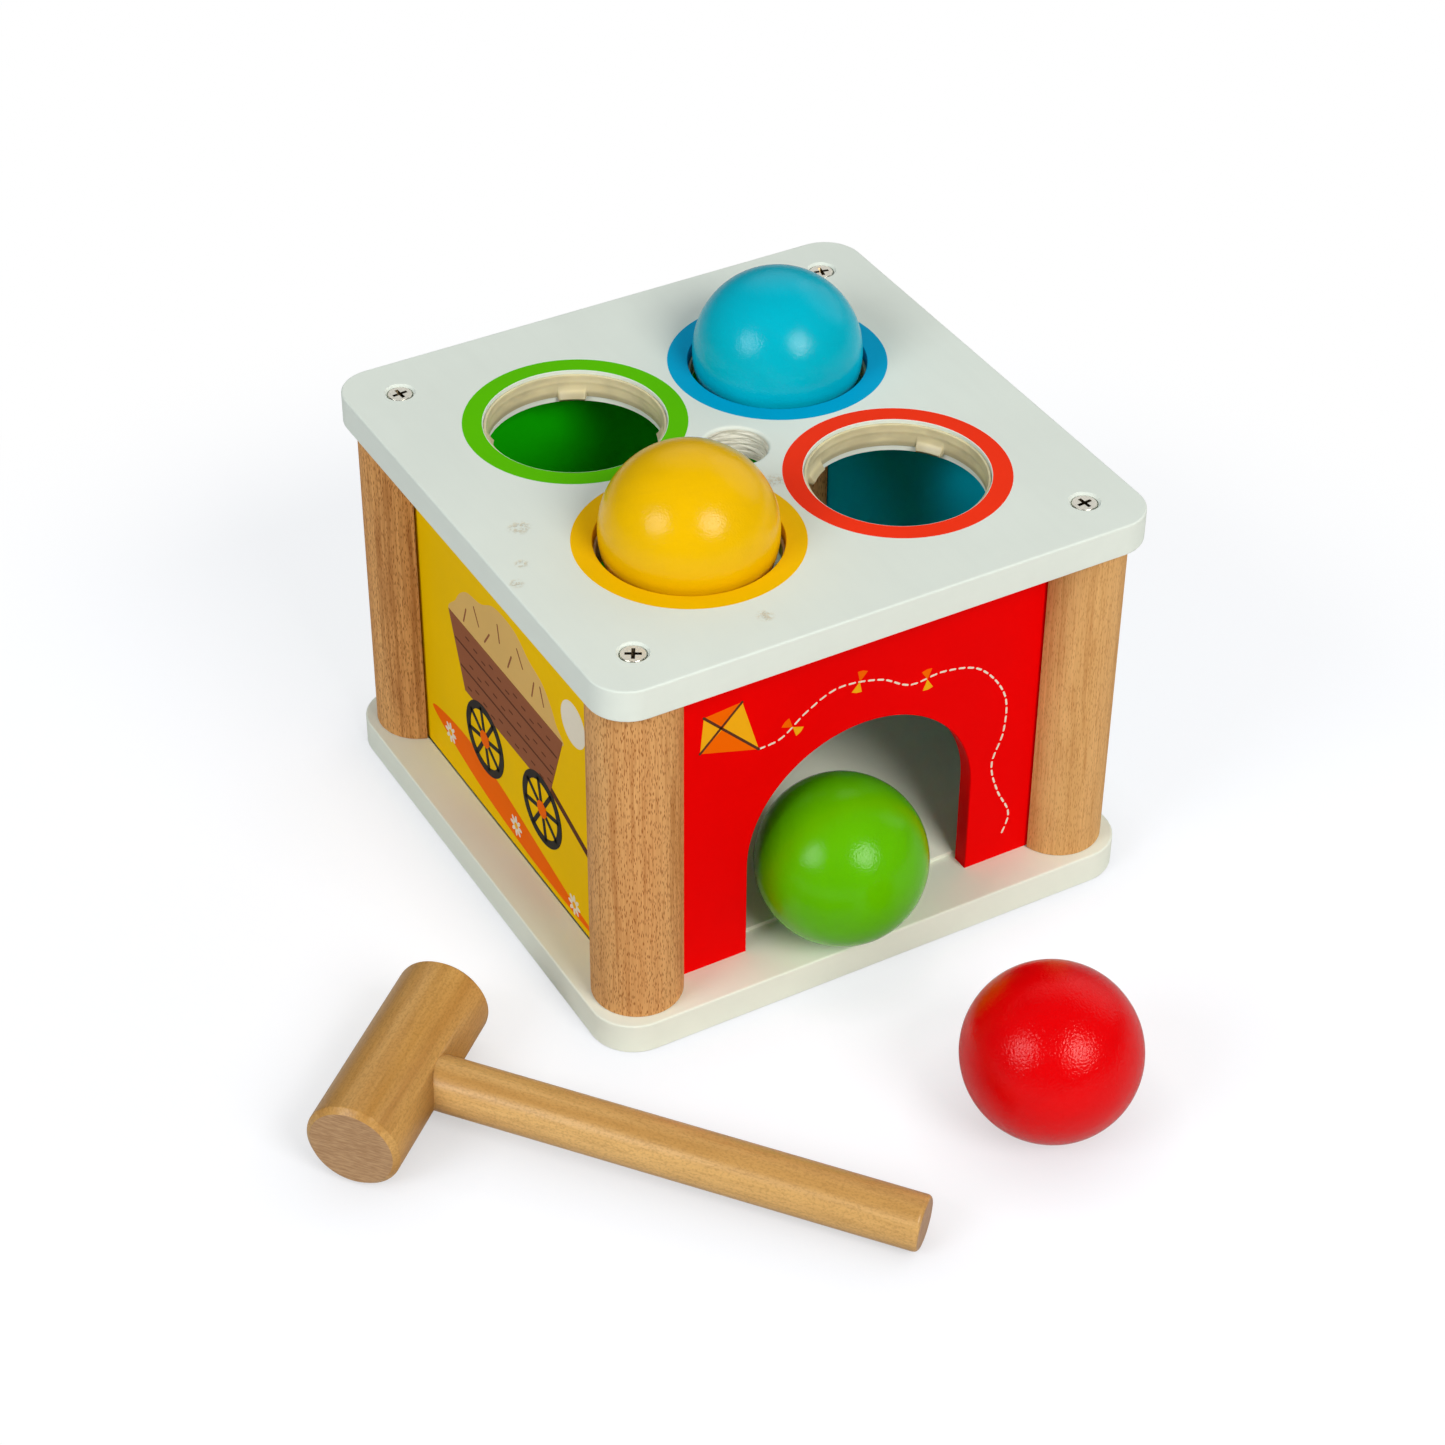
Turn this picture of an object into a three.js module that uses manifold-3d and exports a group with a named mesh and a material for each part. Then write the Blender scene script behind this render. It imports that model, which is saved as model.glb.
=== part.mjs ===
// Ball pounding bench: a toy of two square boards held apart by four round corner posts.
// Balls are hammered through the holes in the top, fall on a sloping ramp and roll out of an arch.
// Millimetres, +Z up. The origin is the centre of the base's underside, and the arch faces -Y.

import * as THREE from 'three';
import { mergeVertices } from 'three/addons/utils/BufferGeometryUtils.js';
import Module from 'manifold-3d';

const wasm = await Module();
wasm.setup();

// Boards
const topWidth = 155.5;
const topThickness = 9;
const baseOverhang = 0.25;
const baseThickness = 9;
const topCornerRadius = 10.5;
const baseCornerRadius = 12;
const boardEdgeRound = 0.9;

// Corner posts
const postDiameter = 24;
const postLength = 97;
const postInset = 14.25;
const postEdgeBreak = 0.5;
const grooveDepth = 4;

// Side panels
const panelThickness = 5;
const grooveClearance = 0.3;
const archWidth = 66.5;
const archHeight = 62;

// Balls and the holes that they are driven through
const ballDiameter = 45;
const holePitch = 60;
const ledgeThickness = 2.7;
const ledgeWidth = 0.4;
const holeRimBreak = 0.4;
const centreHoleDiameter = 16.5;

// Soft ring in each hole, whose tabs hold the ball until it is hit
const ringWall = 0.75;
const ringHeight = 4.7;
const ringClearance = 0.2;
const ballPassage = 0.35;
const tabWidth = 7;
const tabGrip = 1.3;
const tabTipTop = 3.4;
const tabTipBottom = 1.2;
const tabFoot = 0.3;
const tabRootTop = 5.4;
const tabFootDraft = 0.5;
const ballRestGap = 0.3;

// Ramp and the two wedges under it
const rampAngle = THREE.MathUtils.degToRad(11.86);
const rampSetback = 1.5;
const rampLip = 1.2;
const rampThickness = 3;
const rampClearance = 0.5;
const wedgeWidth = 12;
const wedgeInset = 22;
const wedgeNose = 2;
const wedgeGap = 0.3;

// Countersunk screws
const screwHeadDiameter = 6.4;
const screwHeadRim = 0.3;
const screwHeadDepth = 2.2;
const screwShankDiameter = 3.5;
const screwLength = 30;
const screwPointLength = 4;
const screwRecess = 0.4;
const screwClearance = 0.3;
const crossLength = 3.6;
const crossWidth = 0.8;
const crossDepth = 1.3;

// Mallet
const malletHeadDiameter = 24.5;
const malletHeadLength = 57;
const malletHeadChamfer = 1.5;
const handleDiameter = 14;
const handleReach = 135;
const handleEndRound = 1.2;
const socketDepth = 16;
const socketClearance = 0.3;

// Where the loose pieces lie
const greenBallArchGap = 3.5;
const greenBallInset = 9.1;
const greenBallGap = 0.1;
const redBallSide = 5.9;
const redBallForward = 68;
const malletAside = 52.5;
const malletBehindFront = 12.9;
const malletTurn = THREE.MathUtils.degToRad(220.8);

// Numbers of sides, and a reach past a face for cutting tools
const cornerSides = 6;
const edgeSides = 2;
const postSides = 40;
const holeSides = 36;
const archSides = 28;
const smallHoleSides = 20;
const screwSides = 14;
const ballSides = 28;
const ballBands = 18;
const malletSides = 28;
const overrun = 1;

// Sizes worked out from those above
const half = (size) => size / 2;
const baseWidth = topWidth + 2 * baseOverhang;
const ballRadius = half(ballDiameter);
const topUnderside = baseThickness + postLength;
const topSurface = topUnderside + topThickness;
const postOffset = half(topWidth) - postInset;
const postRadius = half(postDiameter);
const panelInnerFace = postOffset - half(panelThickness);
const panelWidth = 2 * (postOffset - postRadius + grooveDepth - grooveClearance);
const holeOffset = half(holePitch);
const ringInnerRadius = ballRadius + ballPassage;
const ringOuterRadius = ringInnerRadius + ringWall;
const seatRadius = ringOuterRadius + ringClearance;
const ledgeRadius = ringOuterRadius - ledgeWidth;
const tabTipRadius = ballRadius - tabGrip;
const seatedDrop = Math.sqrt((ballRadius + ballRestGap) ** 2 - tabTipRadius ** 2);
const seatedBallZ = topUnderside + tabTipTop + seatedDrop;
const rampFront = -panelInnerFace + rampSetback;
const rampBack = panelInnerFace - rampClearance;
const rampRise = Math.tan(rampAngle);

const corners = [
  { name: 'front_left', x: -1, y: -1 },
  { name: 'front_right', x: 1, y: -1 },
  { name: 'back_left', x: -1, y: 1 },
  { name: 'back_right', x: 1, y: 1 },
];
const holes = [
  { colour: 'yellow', x: -1, y: -1, tabTurn: THREE.MathUtils.degToRad(50) },
  { colour: 'red', x: 1, y: -1, tabTurn: THREE.MathUtils.degToRad(36) },
  { colour: 'green', x: -1, y: 1, tabTurn: THREE.MathUtils.degToRad(65) },
  { colour: 'blue', x: 1, y: 1, tabTurn: THREE.MathUtils.degToRad(20) },
];

// Materials
const paintedWhite = new THREE.MeshStandardMaterial({ color: 0xd5dad2, roughness: 0.5, metalness: 0 });
const beech = new THREE.MeshStandardMaterial({ color: 0xc98f5a, roughness: 0.55, metalness: 0 });
const lacquered = new THREE.MeshStandardMaterial({ color: 0xc2914f, roughness: 0.4, metalness: 0 });
const softPlastic = new THREE.MeshStandardMaterial({ color: 0xd9d0b4, roughness: 0.35, metalness: 0 });
const nickel = new THREE.MeshStandardMaterial({ color: 0xb9b6ae, roughness: 0.3, metalness: 1 });
const panelPaint = {
  red: new THREE.MeshStandardMaterial({ color: 0xe60000, roughness: 0.45, metalness: 0 }),
  yellow: new THREE.MeshStandardMaterial({ color: 0xd7af00, roughness: 0.45, metalness: 0 }),
  green: new THREE.MeshStandardMaterial({ color: 0x0b8a00, roughness: 0.45, metalness: 0 }),
  blue: new THREE.MeshStandardMaterial({ color: 0x007c9c, roughness: 0.45, metalness: 0 }),
};
const ballPaint = {
  red: new THREE.MeshStandardMaterial({ color: 0xd50d17, roughness: 0.3, metalness: 0 }),
  yellow: new THREE.MeshStandardMaterial({ color: 0xf5bc08, roughness: 0.3, metalness: 0 }),
  green: new THREE.MeshStandardMaterial({ color: 0x5fb806, roughness: 0.3, metalness: 0 }),
  blue: new THREE.MeshStandardMaterial({ color: 0x17a9cf, roughness: 0.3, metalness: 0 }),
};

// Solids
function solidOf(geometry) {
  const bare = geometry.clone();
  bare.deleteAttribute('normal');
  bare.deleteAttribute('uv');
  const merged = mergeVertices(bare);
  const mesh = new wasm.Mesh({
    numProp: 3,
    vertProperties: new Float32Array(merged.attributes.position.array),
    triVerts: new Uint32Array(merged.index.array),
  });
  return new wasm.Manifold(mesh);
}

function geometryOf(solid) {
  const mesh = solid.getMesh();
  const geometry = new THREE.BufferGeometry();
  geometry.setAttribute('position', new THREE.BufferAttribute(mesh.vertProperties, mesh.numProp));
  geometry.setIndex(new THREE.BufferAttribute(mesh.triVerts, 1));
  geometry.computeVertexNormals();
  return geometry;
}

function cut(geometry, tools) {
  let solid = solidOf(geometry);
  for (const tool of tools) solid = solid.subtract(solidOf(tool));
  return geometryOf(solid);
}

// A turned piece about Z, from a list of [radius, height]
function turned(profile, sides) {
  const points = profile.map(([radius, height]) => new THREE.Vector2(radius, height));
  return new THREE.LatheGeometry(points, sides).rotateX(Math.PI / 2);
}

function rod(radius, bottom, top, sides) {
  return turned([[0, bottom], [radius, bottom], [radius, top], [0, top]], sides);
}

function brokenRod(radius, length, edge, sides) {
  const flat = radius - edge;
  const end = length - edge;
  return turned([[0, 0], [flat, 0], [radius, edge], [radius, end], [flat, length], [0, length]], sides);
}

function mesh(name, geometry, material, position = [0, 0, 0]) {
  const piece = new THREE.Mesh(geometry, material);
  piece.name = name;
  piece.position.set(...position);
  return piece;
}

// Boards
function board(width, cornerRadius, thickness, bottom) {
  const side = half(width) - cornerRadius;
  const outline = new THREE.Shape();
  outline.absarc(side, side, cornerRadius, 0, Math.PI / 2);
  outline.absarc(-side, side, cornerRadius, Math.PI / 2, Math.PI);
  outline.absarc(-side, -side, cornerRadius, Math.PI, 1.5 * Math.PI);
  outline.absarc(side, -side, cornerRadius, 1.5 * Math.PI, 2 * Math.PI);
  const geometry = new THREE.ExtrudeGeometry(outline, {
    depth: thickness - 2 * boardEdgeRound,
    curveSegments: cornerSides,
    bevelThickness: boardEdgeRound,
    bevelSize: boardEdgeRound,
    bevelOffset: -boardEdgeRound,
    bevelSegments: edgeSides,
  });
  return geometry.translate(0, 0, bottom + boardEdgeRound);
}

// The countersunk hole for a screw whose head lies at the given face, pointing down from it
function screwHole(face, direction) {
  const shank = half(screwShankDiameter) + screwClearance;
  const head = half(screwHeadDiameter) + screwClearance;
  const end = -screwRecess - screwLength - screwClearance;
  const profile = [
    [0, end],
    [shank, end],
    [shank, -screwRecess - screwHeadDepth - screwClearance],
    [head, -screwRecess - screwHeadRim - screwClearance],
    [head, overrun],
    [0, overrun],
  ];
  const tool = turned(profile, screwSides);
  if (direction < 0) tool.rotateX(Math.PI);
  return tool.translate(0, 0, face);
}

function ballHole() {
  const ledgeTop = topUnderside + ledgeThickness;
  const rim = topSurface - holeRimBreak;
  return turned([
    [0, topUnderside - overrun],
    [ledgeRadius, topUnderside - overrun],
    [ledgeRadius, ledgeTop],
    [seatRadius, ledgeTop],
    [seatRadius, rim],
    [seatRadius + holeRimBreak + overrun, topSurface + overrun],
    [0, topSurface + overrun],
  ], holeSides);
}

function topPanel() {
  const tools = holes.map(({ x, y }) => ballHole().translate(x * holeOffset, y * holeOffset, 0));
  for (const { x, y } of corners) {
    tools.push(screwHole(topSurface, 1).translate(x * postOffset, y * postOffset, 0));
  }
  const low = topUnderside - overrun;
  const high = topSurface + overrun;
  tools.push(rod(half(centreHoleDiameter), low, high, smallHoleSides));
  const blank = board(topWidth, topCornerRadius, topThickness, topUnderside);
  return mesh('top_panel', cut(blank, tools), paintedWhite);
}

function basePanel() {
  const tools = corners.map(({ x, y }) => screwHole(0, -1).translate(x * postOffset, y * postOffset, 0));
  const blank = board(baseWidth, baseCornerRadius, baseThickness, 0);
  return mesh('base_panel', cut(blank, tools), paintedWhite);
}

// Posts, each with two grooves for the panels that it holds and a screw hole in each end
function post({ name, x, y }) {
  const grooveWidth = panelThickness + 2 * grooveClearance;
  const grooveReach = grooveDepth + overrun;
  const grooveCentre = postRadius - grooveDepth + half(grooveReach);
  const grooveLength = postLength + 2 * overrun;
  const middle = half(postLength);
  const sideGroove = new THREE.BoxGeometry(grooveReach, grooveWidth, grooveLength);
  const frontGroove = new THREE.BoxGeometry(grooveWidth, grooveReach, grooveLength);
  const tools = [
    sideGroove.translate(-x * grooveCentre, 0, middle),
    frontGroove.translate(0, -y * grooveCentre, middle),
    screwHole(postLength + topThickness, 1),
    screwHole(-baseThickness, -1),
  ];
  const body = cut(brokenRod(postRadius, postLength, postEdgeBreak, postSides), tools);
  return mesh(`post_${name}`, body, beech, [x * postOffset, y * postOffset, baseThickness]);
}

// Panels: the front one is an outline with the arch left out of it
function frontPanel() {
  const side = half(panelWidth);
  const archRadius = half(archWidth);
  const spring = archHeight - archRadius;
  const outline = new THREE.Shape();
  outline.moveTo(-side, 0);
  outline.lineTo(-archRadius, 0);
  outline.lineTo(-archRadius, spring);
  outline.absarc(0, spring, archRadius, Math.PI, 0, true);
  outline.lineTo(archRadius, 0);
  outline.lineTo(side, 0);
  outline.lineTo(side, postLength);
  outline.lineTo(-side, postLength);
  const settings = { depth: panelThickness, curveSegments: archSides, bevelEnabled: false };
  const geometry = new THREE.ExtrudeGeometry(outline, settings).rotateX(Math.PI / 2);
  return mesh('front_panel', geometry, panelPaint.red, [0, -panelInnerFace, baseThickness]);
}

function plainPanels() {
  const middle = baseThickness + half(postLength);
  const across = new THREE.BoxGeometry(panelWidth, panelThickness, postLength);
  const along = new THREE.BoxGeometry(panelThickness, panelWidth, postLength);
  return [
    mesh('back_panel', across, panelPaint.green, [0, postOffset, middle]),
    mesh('left_panel', along, panelPaint.yellow, [-postOffset, 0, middle]),
    mesh('right_panel', along, panelPaint.blue, [postOffset, 0, middle]),
  ];
}

// An outline of [y, z] points, drawn out along X and centred on x = 0
function drawnAlongX(points, width) {
  const outline = new THREE.Shape(points.map(([y, z]) => new THREE.Vector2(y, z)));
  const geometry = new THREE.ExtrudeGeometry(outline, { depth: width, bevelEnabled: false });
  geometry.rotateX(Math.PI / 2).rotateZ(Math.PI / 2);
  return geometry.translate(-half(width), 0, 0);
}

// The ramp's top rises from the lip. Its underside is parallel to it, and flat where it meets the base.
const rampTopAt = (y) => baseThickness + rampLip + (y - rampFront) * rampRise;
const rampUnderAt = (y) => rampTopAt(y) - rampThickness / Math.cos(rampAngle);
const rampFoot = rampFront + (rampThickness / Math.cos(rampAngle) - rampLip) / rampRise;

function ramp() {
  const width = rampBack - rampFront;
  const profile = [
    [rampFront, baseThickness],
    [rampFoot, baseThickness],
    [rampBack, rampUnderAt(rampBack)],
    [rampBack, rampTopAt(rampBack)],
    [rampFront, baseThickness + rampLip],
  ];
  const notch = 2 * (postRadius + rampClearance);
  const middle = baseThickness + half(postLength);
  const tools = corners.map(({ x, y }) => {
    const block = new THREE.BoxGeometry(notch, notch, postLength + 2 * overrun);
    return block.translate(x * postOffset, y * postOffset, middle);
  });
  return mesh('ramp', cut(drawnAlongX(profile, width), tools), paintedWhite);
}

function rampWedges() {
  const nose = rampFoot + (wedgeNose + wedgeGap) / rampRise;
  const tail = postOffset - postRadius - rampClearance;
  const profile = [
    [nose, baseThickness],
    [tail, baseThickness],
    [tail, rampUnderAt(tail) - wedgeGap],
    [nose, rampUnderAt(nose) - wedgeGap],
  ];
  const offset = postOffset - wedgeInset;
  return ['left', 'right'].map((side) => {
    const place = side === 'left' ? -offset : offset;
    return mesh(`ramp_wedge_${side}`, drawnAlongX(profile, wedgeWidth), beech, [place, 0, 0]);
  });
}

// Soft rings
function retainer({ colour, x, y, tabTurn }) {
  const ledgeTop = ledgeThickness;
  const ringTop = ledgeTop + ringHeight;
  let solid = solidOf(turned([
    [ringInnerRadius, ledgeTop],
    [ringOuterRadius, ledgeTop],
    [ringOuterRadius, ringTop],
    [ringInnerRadius, ringTop],
    [ringInnerRadius, ledgeTop],
  ], holeSides));
  const tabOuterRadius = ledgeRadius - ringClearance;
  const tabs = solidOf(turned([
    [tabTipRadius + tabFootDraft, tabFoot],
    [tabOuterRadius, tabFoot],
    [tabOuterRadius, ledgeTop],
    [ringOuterRadius, ledgeTop],
    [ringOuterRadius, tabRootTop],
    [ringInnerRadius, tabRootTop],
    [tabTipRadius, tabTipTop],
    [tabTipRadius, tabTipBottom],
    [tabTipRadius + tabFootDraft, tabFoot],
  ], holeSides));
  for (const turn of [0, 0.5, 1, 1.5]) {
    const key = new THREE.BoxGeometry(ledgeRadius, tabWidth, 2 * tabRootTop);
    key.translate(ledgeRadius, 0, tabRootTop);
    key.rotateZ(tabTurn + turn * Math.PI);
    solid = solid.add(tabs.intersect(solidOf(key)));
  }
  const place = [x * holeOffset, y * holeOffset, topUnderside];
  return mesh(`retainer_${colour}`, geometryOf(solid), softPlastic, place);
}

// Screws: a countersunk head with a cross cut in it, and a pointed shank
function screw(name, position, flipped) {
  const headRadius = half(screwHeadDiameter);
  const shankRadius = half(screwShankDiameter);
  const body = turned([
    [0, -screwLength],
    [shankRadius, screwPointLength - screwLength],
    [shankRadius, -screwHeadDepth],
    [headRadius, -screwHeadRim],
    [headRadius, 0],
    [0, 0],
  ], screwSides);
  const slotA = new THREE.BoxGeometry(crossLength, crossWidth, 2 * crossDepth);
  const slotB = new THREE.BoxGeometry(crossWidth, crossLength, 2 * crossDepth);
  const piece = mesh(name, cut(body, [slotA, slotB]), nickel, position);
  if (flipped) piece.rotation.x = Math.PI;
  return piece;
}

function screws() {
  const pieces = [];
  for (const { name, x, y } of corners) {
    const place = [x * postOffset, y * postOffset];
    pieces.push(screw(`top_screw_${name}`, [...place, topSurface - screwRecess], false));
    pieces.push(screw(`base_screw_${name}`, [...place, screwRecess], true));
  }
  return pieces;
}

// Balls: two seated in their holes, one in the arch and one on the floor
function balls() {
  const baseFront = -half(baseWidth);
  const greenSide = greenBallArchGap + ballRadius - half(archWidth);
  const places = {
    yellow: [-holeOffset, -holeOffset, seatedBallZ],
    blue: [holeOffset, holeOffset, seatedBallZ],
    green: [greenSide, baseFront + greenBallInset, baseThickness + ballRadius + greenBallGap],
    red: [redBallSide, baseFront - redBallForward, ballRadius],
  };
  return Object.entries(places).map(([colour, place]) => {
    const ball = new THREE.SphereGeometry(ballRadius, ballSides, ballBands).rotateX(Math.PI / 2);
    return mesh(`ball_${colour}`, ball, ballPaint[colour], place);
  });
}

// The mallet lies on the floor: its head on its side, and its handle sloping down to its end
function mallet() {
  const headRadius = half(malletHeadDiameter);
  const handleRadius = half(handleDiameter);
  const group = new THREE.Group();
  group.position.set(-half(baseWidth) - malletAside, malletBehindFront - half(baseWidth), headRadius);
  group.rotation.z = malletTurn;
  const tilted = new THREE.Group();
  tilted.rotation.x = -Math.asin((headRadius - handleRadius) / (handleReach - handleEndRound));
  const socketEnd = headRadius - socketDepth;
  const head = brokenRod(headRadius, malletHeadLength, malletHeadChamfer, malletSides);
  head.translate(0, 0, -half(malletHeadLength)).rotateY(Math.PI / 2);
  const socket = rod(handleRadius + socketClearance, socketEnd, headRadius + overrun, malletSides);
  socket.rotateX(-Math.PI / 2);
  const handleStart = socketEnd + socketClearance;
  const handle = brokenRod(handleRadius, handleReach - handleStart, handleEndRound, malletSides);
  handle.translate(0, 0, handleStart).rotateX(-Math.PI / 2);
  tilted.add(mesh('mallet_head', cut(head, [socket]), lacquered));
  tilted.add(mesh('mallet_handle', handle, lacquered));
  group.add(tilted);
  return group;
}

const bench = new THREE.Group();
bench.add(topPanel(), basePanel(), ...corners.map(post), frontPanel(), ...plainPanels());
bench.add(ramp(), ...rampWedges(), ...holes.map(retainer), ...screws(), ...balls(), mallet());

export default bench;
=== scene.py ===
"""Ball pounding bench: fine pieces, finishes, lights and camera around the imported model.

Metres, +Z up. The arch and its red panel face -Y, the yellow panel faces -X.
"""
from math import asin, atan2, cos, exp, pi, radians, sin

import bmesh
import bpy
import numpy as np
from mathutils import Matrix, Vector, noise
from mathutils.geometry import tessellate_polygon

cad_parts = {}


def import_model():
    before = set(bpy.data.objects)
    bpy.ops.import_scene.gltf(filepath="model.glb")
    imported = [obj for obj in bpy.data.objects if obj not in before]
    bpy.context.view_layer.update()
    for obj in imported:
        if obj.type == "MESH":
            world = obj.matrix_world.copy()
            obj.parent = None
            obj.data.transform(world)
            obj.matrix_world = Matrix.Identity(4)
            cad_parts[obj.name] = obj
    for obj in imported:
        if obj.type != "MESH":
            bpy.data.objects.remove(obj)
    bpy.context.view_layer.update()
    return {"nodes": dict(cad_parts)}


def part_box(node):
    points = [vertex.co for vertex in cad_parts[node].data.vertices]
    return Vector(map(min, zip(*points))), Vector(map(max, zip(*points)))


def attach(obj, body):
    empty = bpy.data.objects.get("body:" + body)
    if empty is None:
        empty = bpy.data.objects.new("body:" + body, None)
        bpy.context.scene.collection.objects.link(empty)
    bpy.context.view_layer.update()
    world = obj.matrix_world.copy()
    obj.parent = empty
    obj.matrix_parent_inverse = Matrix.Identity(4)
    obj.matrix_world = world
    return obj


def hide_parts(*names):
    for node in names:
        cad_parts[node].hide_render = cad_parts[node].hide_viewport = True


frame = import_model()

MM = 0.001
RIGHT_ANGLE = pi / 2
FULL_TURN = 2 * pi
UP = Vector((0, 0, 1))

# Camera, fitted to the photograph
CAMERA_PLACE = Vector((-0.3548, -0.6130, 0.5871))
CAMERA_HEADING = radians(29.857)
CAMERA_DIP = radians(38.424)
CAMERA_ROLL = radians(0.484)
CAMERA_LENS = 83.27
CAMERA_NEAR = 0.01
SENSOR_WIDTH = 36.0

# Boards, and the narrow joint along a panel's foot
TOP_CORNER = 10.5 * MM
BASE_CORNER = 12 * MM
BOARD_EDGE = 0.5 * MM
JOINT_WIDTH = 0.3 * MM
JOINT_UNDERCUT = 1.2 * MM
JOINT_DEPTH = 2 * MM
HOLE_RIM = 0.2 * MM
PRINT_INNER = 23.92 * MM
PRINT_OUTER = 29.05 * MM
CENTRE_HOLE = 17.2 * MM
CENTRE_HOLE_RIM = 0.8 * MM
CENTRE_HOLE_ROUGHNESS = 0.3 * MM

# Posts, panels, ramp and the printed layers on two panels
POST_EDGE = 0.5 * MM
GROOVE_DEPTH = 4 * MM
GROOVE_CLEARANCE = 0.6 * MM
PANEL_EDGE = 0.35 * MM
ARCH_WIDTH = 66.5 * MM
ARCH_HEIGHT = 62 * MM
RAMP_EDGE = 0.25 * MM
PRINT_SINK = 0.05 * MM
PRINT_LIFT = 0.035 * MM

# Soft rings and their tabs
RING_CLEARANCE = 0.1 * MM
LEDGE_WIDTH = 0.4 * MM
RING_WALL = 0.75 * MM
RING_HEIGHT = 4.7 * MM
RING_BEAD = 0.14 * MM
RING_EDGE = 0.25 * MM
RING_WALL_FOOT = 0.7 * MM
RING_FOOT_GAP = 0.6 * MM
SLEEVE_FOOT = 0.7 * MM
SLEEVE_EDGE = 0.1 * MM
TAB_WIDTH = 6.5 * MM
TAB_SIDE = 0.45 * MM
TAB_TIP = 21.2 * MM
TAB_TIP_HEIGHT = 0.8 * MM
TAB_FOOT_DRAFT = 0.5 * MM
TAB_ROOT_DROP = 0.4 * MM
TAB_ROOT_SHARE = 0.22
TAB_SLOPE_SHARE = 0.65

# Screws and the countersunk holes that they sit in
SCREW_HEAD = 6.4 * MM
SCREW_HEAD_RIM = 0.12 * MM
SCREW_HEAD_LAND = 0.35 * MM
SCREW_HEAD_DEPTH = 2.2 * MM
SCREW_SHANK = 3.5 * MM
SCREW_THREAD_TOP = 8 * MM
SCREW_POINT = 4 * MM
SCREW_PITCH = 1.5 * MM
SCREW_FLANK = 3.2
SCREW_ROOT_SHARE = 0.74
SCREW_CLEARANCE = 0.3 * MM
SCREW_SINK = 0.45 * MM
COUNTERSINK = 0.6 * MM
COUNTERSINK_LIP = 0.05 * MM
SEAT_WALL = 0.6 * MM
SEAT_SLACK = 0.7 * MM
CROSS_LENGTH = 4.1 * MM
CROSS_WIDTH = 0.95 * MM
CROSS_DEPTH = 1.6 * MM

# Balls and mallet
BALL_RELIEF = 0.05 * MM
MALLET_HEAD = 24.5 * MM
MALLET_HEAD_LENGTH = 57 * MM
MALLET_CHAMFER = 1.5 * MM
HANDLE = 14 * MM
HANDLE_END = 1.2 * MM
HANDLE_SHORTENING = 0.4 * MM
SOCKET_CLEARANCE = 0.04 * MM
SOCKET_FLOOR_GAP = 0.2 * MM

# How many steps the round stretches have
CORNER_STEPS = 10
ARCH_STEPS = 72
POST_STEPS = 120
CURVE_STEPS = 10

# Which way each soft ring's four tabs are turned, in degrees
TAB_TURNS = {"yellow": 50, "red": 36, "green": 65, "blue": 20}

# How far each ring's lip stands over the CAD ring: the two round seated balls are sunk
RING_LIPS = {"yellow": -1.7 * MM, "red": 0.7 * MM, "green": 0.7 * MM, "blue": -1.7 * MM}

# Which way each screw's cross is turned, in degrees
CROSS_TURNS = {"front_left": -30, "front_right": 6, "back_left": 5, "back_right": -12}

# How each ball is turned about X, Y and Z, in degrees, and its lacquer's peel in millimetres
BALL_TURNS = {"yellow": (70, 20, 35), "red": (65, -25, 80), "green": (55, 15, 140), "blue": (60, 30, 200)}
BALL_PEELS = {"yellow": 0.06, "red": 0.13, "green": 0.06, "blue": 0.07}

# How fine the relief is along each axis, in cells to the metre
BALL_GRAIN = Vector((420, 420, 60))
BALL_GRAIN_SHIFT = 900
TEAR_COARSE = Vector((200, 200, 1100))
TEAR_FINE = Vector((330, 330, 2300))
TEAR_FADE_LEVELS = 5

# Each lamp's direction from the bench, width, power and colour
LAMPS = {
    "right_softbox": ((0.105, -0.788, 0.604), 1.45, 54.0, (1.0, 0.965, 0.91)),
    "left_softbox": ((-0.816, -0.171, 0.553), 1.45, 33.5, (0.96, 0.985, 1.0)),
    "right_card": ((0.85, 0.21, 0.48), 2.6, 12.5, (0.98, 1.0, 1.02)),
}
LAMP_DISTANCE = 3.0
LAMP_TARGET = Vector((0, 0, 0.06))

# The studio's even light, and the soft bright patch that only gloss mirrors
PLAIN_WHITE = (1.0, 1.0, 1.0, 1.0)
STUDIO_COLOUR = (0.97, 1.0, 1.03, 1.0)
STUDIO_STRENGTH = 0.255
PATCH_DIRECTION = (0.383, 0.668, 0.64)
PATCH_EDGES = (0.87, 0.975)
PATCH_STRENGTHS = (0.05, 0.72)

# The floor: its size, what it bounces, how it takes shadows, how its glow is dimmed near contacts as painted
# shade, and where it fades to plain white
FLOOR_REACH = 3.0
FLOOR_DROP = 0.05 * MM
FLOOR_BOUNCE = (0.6, 0.6, 0.6, 1.0)
FLOOR_SHADOW = (0.34, 0.355, 0.39, 1.0)
FLOOR_LIFTS = (0.45, 0.715)
FLOOR_CONTACT = 0.02
FLOOR_MIDDLE = (-0.02, -0.02, 0.0)
FLOOR_FADE = (0.19, 0.3)

CORNERS = {"front_left": (-1, -1), "front_right": (1, -1), "back_left": (-1, 1), "back_right": (1, 1)}
QUADRANTS = ((1, 1), (-1, 1), (-1, -1), (1, -1))
COLOURS = ("yellow", "red", "green", "blue")
PANELS = {
    "front_panel": ("red", (0, -1, 0)),
    "left_panel": ("yellow", (-1, 0, 0)),
    "back_panel": ("green", (0, 1, 0)),
    "right_panel": ("blue", (1, 0, 0)),
}


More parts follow.
